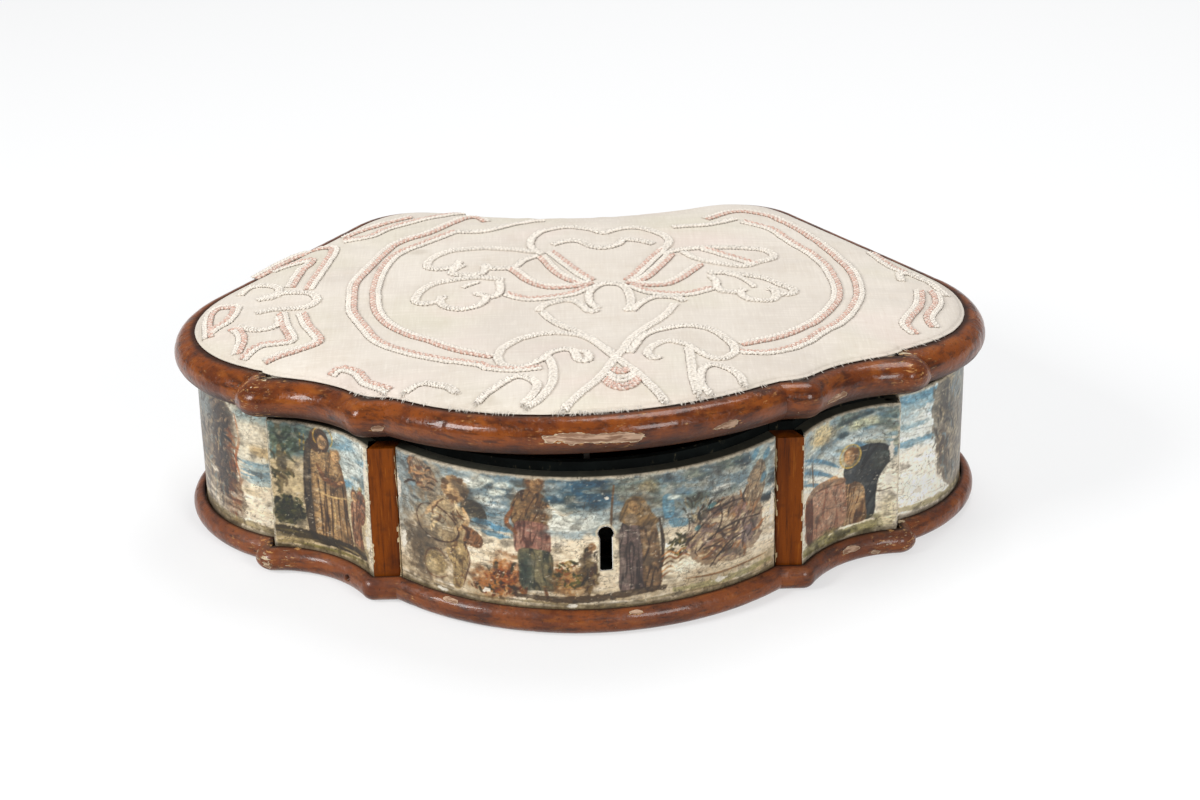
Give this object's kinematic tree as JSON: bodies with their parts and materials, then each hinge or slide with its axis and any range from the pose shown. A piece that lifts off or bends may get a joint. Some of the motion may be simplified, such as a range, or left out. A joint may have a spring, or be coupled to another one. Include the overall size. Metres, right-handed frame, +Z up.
{
  "type": "sewing box",
  "caption": "Low bow-fronted wooden box with painted walls, rounded mouldings, a keyhole lock and a hinged lid padded under linen.",
  "frame": {"origin": "on the surface the box stands on, under the centre of its bounding box", "axes": "+Z up, -Y out of the bowed front with the keyhole, +X to the right of someone facing the front"},
  "size_m": [0.3716, 0.2845, 0.1037],
  "materials": {
    "painted_gesso": "oil and tempera painting on cream gesso, crackled and varnished",
    "red_brown_lacquer": "glossy red-brown lacquer on gesso and wood, worn through to cream at the edges",
    "dark_green_paint": "old matt green-black paint",
    "plain_wood": "bare aged softwood",
    "cream_linen": "plain-woven ecru linen with applied braid",
    "padding": "cotton or tow wadding",
    "dark_iron": "dark forged iron"
  },
  "bodies": {
    "box": {"bottom_board": "plain_wood", "front_panel": "painted_gesso", "wing_panel_right": "painted_gesso", "end_panel_right": "painted_gesso", "back_panel": "painted_gesso", "end_panel_left": "painted_gesso", "wing_panel_left": "painted_gesso", "post_right": "red_brown_lacquer", "post_left": "red_brown_lacquer", "liner_front": "dark_green_paint", "liner_wing_right": "dark_green_paint", "liner_end_right": "dark_green_paint", "liner_back": "dark_green_paint", "liner_end_left": "dark_green_paint", "liner_wing_left": "dark_green_paint", "base_moulding_front": "red_brown_lacquer", "base_moulding_wing_right": "red_brown_lacquer", "base_moulding_end_right": "red_brown_lacquer", "base_moulding_back": "red_brown_lacquer", "base_moulding_end_left": "red_brown_lacquer", "base_moulding_wing_left": "red_brown_lacquer", "hinge_box_leaf_left": "dark_iron", "hinge_pin_left": "dark_iron", "hinge_nail_box_left_1": "dark_iron", "hinge_nail_box_left_2": "dark_iron", "hinge_box_leaf_right": "dark_iron", "hinge_pin_right": "dark_iron", "hinge_nail_box_right_1": "dark_iron", "hinge_nail_box_right_2": "dark_iron", "lock_plate": "dark_iron", "lock_spring": "dark_iron", "lock_cap": "dark_iron", "lock_key_pin": "dark_iron", "lock_nail_1": "dark_iron", "lock_nail_2": "dark_iron", "lock_nail_3": "dark_iron", "lock_nail_4": "dark_iron"},
    "lid": {"lid_board": "plain_wood", "lid_moulding_front": "red_brown_lacquer", "lid_moulding_wing_right": "red_brown_lacquer", "lid_moulding_end_right": "red_brown_lacquer", "lid_moulding_back": "red_brown_lacquer", "lid_moulding_end_left": "red_brown_lacquer", "lid_moulding_wing_left": "red_brown_lacquer", "lid_padding": "padding", "lid_cover": "cream_linen", "hinge_lid_leaf_left": "dark_iron", "hinge_nail_lid_left_1": "dark_iron", "hinge_nail_lid_left_2": "dark_iron", "hinge_lid_leaf_right": "dark_iron", "hinge_nail_lid_right_1": "dark_iron", "hinge_nail_lid_right_2": "dark_iron", "lid_staple": "dark_iron"},
    "bolt": {"lock_bolt": "dark_iron"}
  },
  "joints": [
    {"name": "lid_hinge", "type": "hinge", "parent": "box", "child": "lid", "pos_m": [0, 0.1363, 0.0733], "axis": [-1, 0, 0], "range_deg": [0, 150]},
    {"name": "bolt_throw", "type": "slide", "parent": "box", "child": "bolt", "axis": [-1, 0, 0], "range_m": [0, 0.006]}
  ]
}
